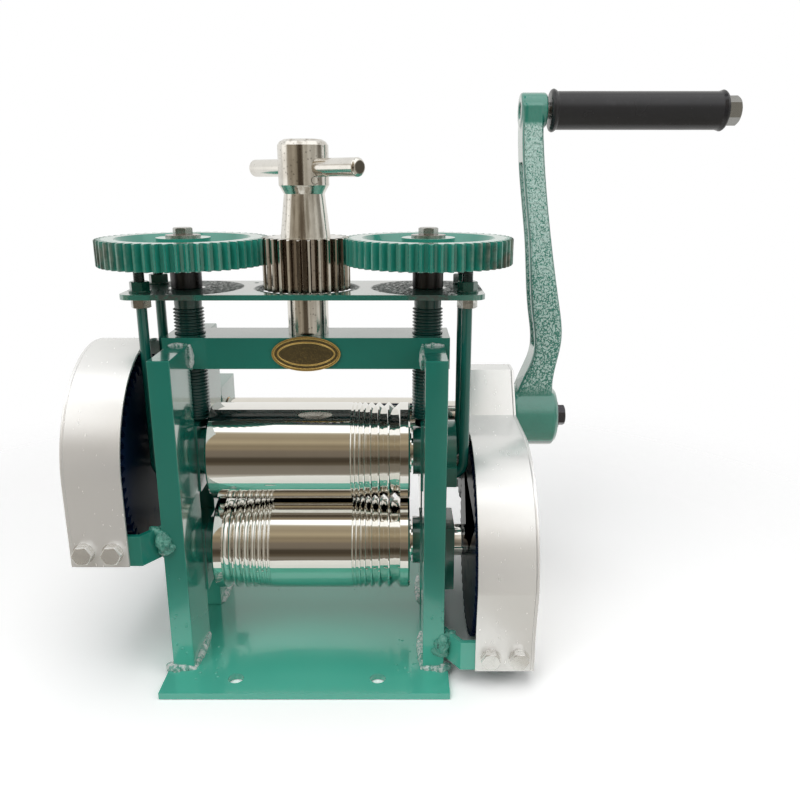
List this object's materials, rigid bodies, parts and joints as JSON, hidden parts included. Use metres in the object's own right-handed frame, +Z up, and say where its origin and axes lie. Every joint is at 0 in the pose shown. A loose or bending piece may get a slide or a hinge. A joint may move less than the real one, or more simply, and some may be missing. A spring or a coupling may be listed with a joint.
{
  "type": "jewellers rolling mill",
  "caption": "Bench mill with two grooved steel rolls in a welded frame, a T-handle that sets the gap through gears and screws, and a geared side crank.",
  "frame": {"origin": "middle of the base plate's underside, below the plane of the roll axes", "axes": "+Z up, +X along the rolls towards the crank, the operator stands at -Y"},
  "size_m": [0.4008, 0.1965, 0.3404],
  "materials": {
    "green_enamel": "gloss",
    "gear_enamel": "gloss, worn at the teeth",
    "screw_green": "satin",
    "hammertone_green": "hammertone",
    "polished_roll": "mirror",
    "polished_shaft": "polished",
    "worn_steel": "polished, worn",
    "black_steel": "blackened",
    "bright_steel": "zinc",
    "zinc_fastener": "bright zinc",
    "guard_sheet": "satin",
    "navy_gear": "satin",
    "bronze_bush": "machined",
    "brass_plaque": "polished rim, dark field",
    "black_grip": "satin"
  },
  "bodies": {
    "frame": {"base_plate": "green_enamel", "crossbeam": "green_enamel", "oval_plaque": "brass_plaque", "left_front_post": "green_enamel", "right_front_post": "green_enamel", "left_rear_post": "green_enamel", "right_rear_post": "green_enamel", "left_lower_chock": "green_enamel", "right_lower_chock": "green_enamel", "lower_bushes": "bronze_bush", "shaft_bushes": "bronze_bush", "left_shaft_bracket": "green_enamel", "right_shaft_bracket": "green_enamel", "idler_pin": "bright_steel", "left_guard_band": "guard_sheet", "right_guard_band": "guard_sheet", "left_guard_cover": "guard_sheet", "right_guard_cover": "guard_sheet", "left_guard_straps": "green_enamel", "right_guard_straps": "green_enamel", "left_guard_bolts": "zinc_fastener", "right_guard_bolts": "zinc_fastener"},
    "lift": {"top_plate": "green_enamel", "left_upper_chock": "green_enamel", "right_upper_chock": "green_enamel", "left_lift_rods": "screw_green", "right_lift_rods": "screw_green", "left_rod_nuts": "green_enamel", "right_rod_nuts": "green_enamel", "thrust_pads": "black_steel"},
    "floating_bushes": {"upper_bushes": "bronze_bush"},
    "left_adjuster": {"left_screw": "screw_green", "left_screw_collar": "black_steel", "left_top_gear": "gear_enamel", "left_gear_bolt": "bright_steel"},
    "right_adjuster": {"right_screw": "screw_green", "right_screw_collar": "black_steel", "right_top_gear": "gear_enamel", "right_gear_bolt": "bright_steel"},
    "t_handle": {"adjusting_pinion": "worn_steel", "tommy_bar": "worn_steel", "pinion_retainer": "bright_steel"},
    "upper_roll": {"upper_roll": "polished_roll", "upper_roll_gear": "navy_gear", "upper_gear_key": "bright_steel", "upper_roll_nut": "bright_steel"},
    "lower_roll": {"lower_roll": "polished_roll", "lower_roll_gear": "navy_gear", "lower_gear_key": "bright_steel", "lower_roll_nut": "bright_steel"},
    "idler": {"idler_gear": "navy_gear"},
    "crank": {"cross_shaft": "polished_shaft", "left_drive_pinion": "navy_gear", "right_drive_pinion": "navy_gear", "drive_keys": "bright_steel", "crank_arm": "hammertone_green", "crank_bolt": "bright_steel", "grip_spindle": "zinc_fastener"},
    "grip": {"grip": "black_grip"}
  },
  "joints": [
    {"name": "t_handle_turn", "type": "hinge", "parent": "frame", "child": "t_handle", "pos_m": [0, 0, 0.2], "axis": [0, 0, -1], "range_deg": [-324.2, 2160.2]},
    {"name": "lift_slide", "type": "slide", "parent": "frame", "child": "lift", "axis": [0, 0, 1], "range_m": [-0.0009, 0.006]},
    {"name": "left_adjuster_turn", "type": "hinge", "parent": "lift", "child": "left_adjuster", "pos_m": [-0.07087, 0, 0.245], "axis": [0, 0, 1], "range_deg": [-162.1, 1080.1]},
    {"name": "right_adjuster_turn", "type": "hinge", "parent": "lift", "child": "right_adjuster", "pos_m": [0.07087, 0, 0.245], "axis": [0, 0, 1], "range_deg": [-162.1, 1080.1]},
    {"name": "upper_mesh_follow", "type": "hinge", "parent": "lift", "child": "floating_bushes", "pos_m": [0, 0, 0.122], "axis": [1, 0, 0], "range_deg": [-5.93, 0.89]},
    {"name": "crank_turn", "type": "hinge", "parent": "frame", "child": "crank", "pos_m": [0, 0.075, 0.122], "axis": [1, 0, 0], "continuous": true},
    {"name": "upper_roll_turn", "type": "hinge", "parent": "floating_bushes", "child": "upper_roll", "pos_m": [0, 0, 0.122], "axis": [1, 0, 0], "continuous": true},
    {"name": "lower_roll_turn", "type": "hinge", "parent": "frame", "child": "lower_roll", "pos_m": [0, 0, 0.061], "axis": [1, 0, 0], "continuous": true},
    {"name": "idler_turn", "type": "hinge", "parent": "frame", "child": "idler", "pos_m": [0.106, 0.0769, 0.08305], "axis": [1, 0, 0], "continuous": true},
    {"name": "grip_spin", "type": "hinge", "parent": "crank", "child": "grip", "pos_m": [0.21, 0.075, 0.327], "axis": [1, 0, 0], "continuous": true}
  ],
  "couplings": [
    {"joint": "t_handle_turn", "follows": "lift_slide", "rad_per_m": 6283.2},
    {"joint": "left_adjuster_turn", "follows": "lift_slide", "rad_per_m": 3141.6},
    {"joint": "right_adjuster_turn", "follows": "lift_slide", "rad_per_m": 3141.6},
    {"joint": "upper_mesh_follow", "follows": "lift_slide", "rad_per_m": -17.241},
    {"joint": "upper_roll_turn", "follows": "crank_turn", "ratio": -0.2931},
    {"joint": "lower_roll_turn", "follows": "crank_turn", "ratio": 0.2931},
    {"joint": "idler_turn", "follows": "crank_turn", "ratio": -0.77273}
  ]
}
